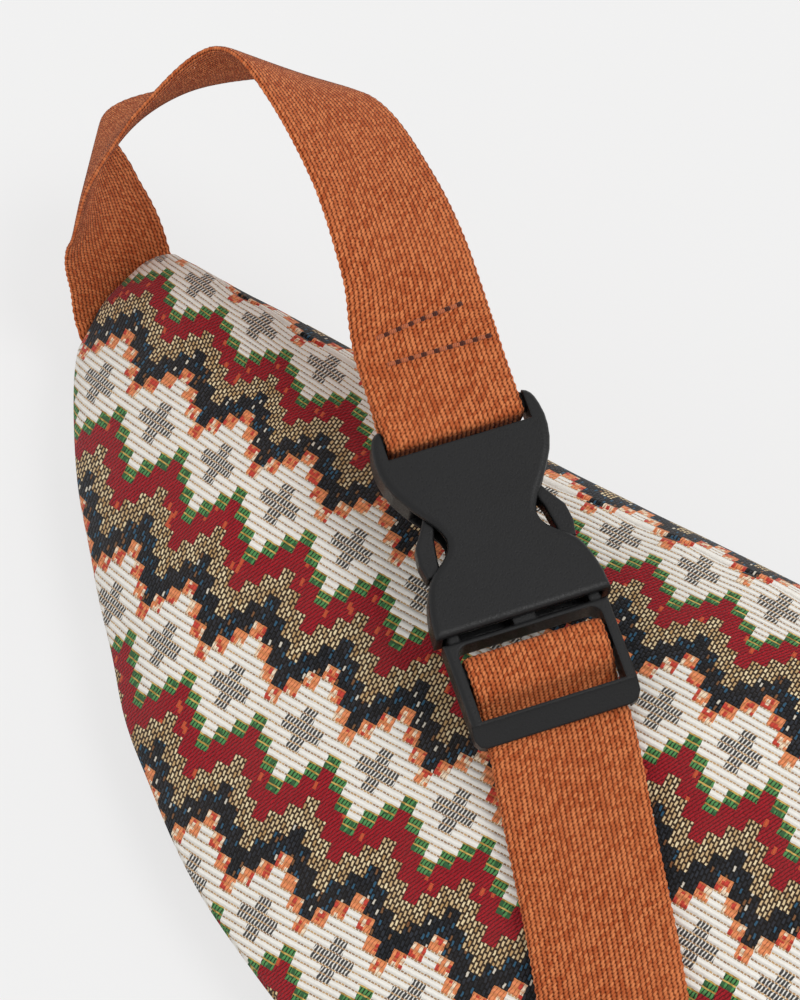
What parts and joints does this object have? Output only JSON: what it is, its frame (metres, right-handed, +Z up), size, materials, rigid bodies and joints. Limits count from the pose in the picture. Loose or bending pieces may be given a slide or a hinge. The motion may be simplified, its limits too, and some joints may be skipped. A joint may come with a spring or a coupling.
{
  "type": "belt bag",
  "caption": "Half-moon belt bag lying on its front, with a zip opening and a webbing belt joined by a side-release buckle on a standing strap loop.",
  "frame": {"origin": "middle of the flat underside of the front panel, on the table", "axes": "+X along the bag towards the end with the long strap, +Y towards the zip, +Z up, out of the back panel"},
  "size_m": [0.4586, 0.2529, 0.1273],
  "materials": {
    "woven_cloth": "matt",
    "plain_cloth": "matt",
    "lining_cloth": "satin",
    "webbing": "matt",
    "zip_tape": "matt",
    "black_plastic": "satin",
    "zip_metal": "aged"
  },
  "bodies": {
    "bag": {"back_panel": "woven_cloth", "front_panel": "woven_cloth", "zip_strip_back": "plain_cloth", "zip_strip_front": "plain_cloth", "zip_tape_back": "zip_tape", "zip_tape_front": "zip_tape", "zip_teeth_back": "zip_metal", "zip_teeth_front": "zip_metal", "zip_bottom_stop": "zip_metal", "zip_top_stop_back": "zip_metal", "zip_top_stop_front": "zip_metal", "lining": "lining_cloth", "buckle_plug": "black_plastic", "short_strap": "webbing", "long_strap": "webbing"},
    "slider": {"zip_slider": "zip_metal"},
    "pull": {"zip_pull": "zip_metal"},
    "socket": {"buckle_socket": "black_plastic"}
  },
  "joints": [
    {"name": "zip_slide", "type": "slide", "parent": "bag", "child": "slider", "axis": [1, 0, 0], "range_m": [0, 0.264], "deforming": ["zip_teeth_back", "zip_teeth_front"]},
    {"name": "pull_swing", "type": "hinge", "parent": "slider", "child": "pull", "pos_m": [-0.1325, 0.0885, 0.03], "axis": [0, 0, 1], "range_deg": [0, 150]},
    {"name": "buckle_release", "type": "slide", "parent": "bag", "child": "socket", "axis": [-0.7723, 0.6083, 0.1831], "range_m": [0, 0.042], "deforming": ["short_strap", "buckle_plug"]}
  ]
}
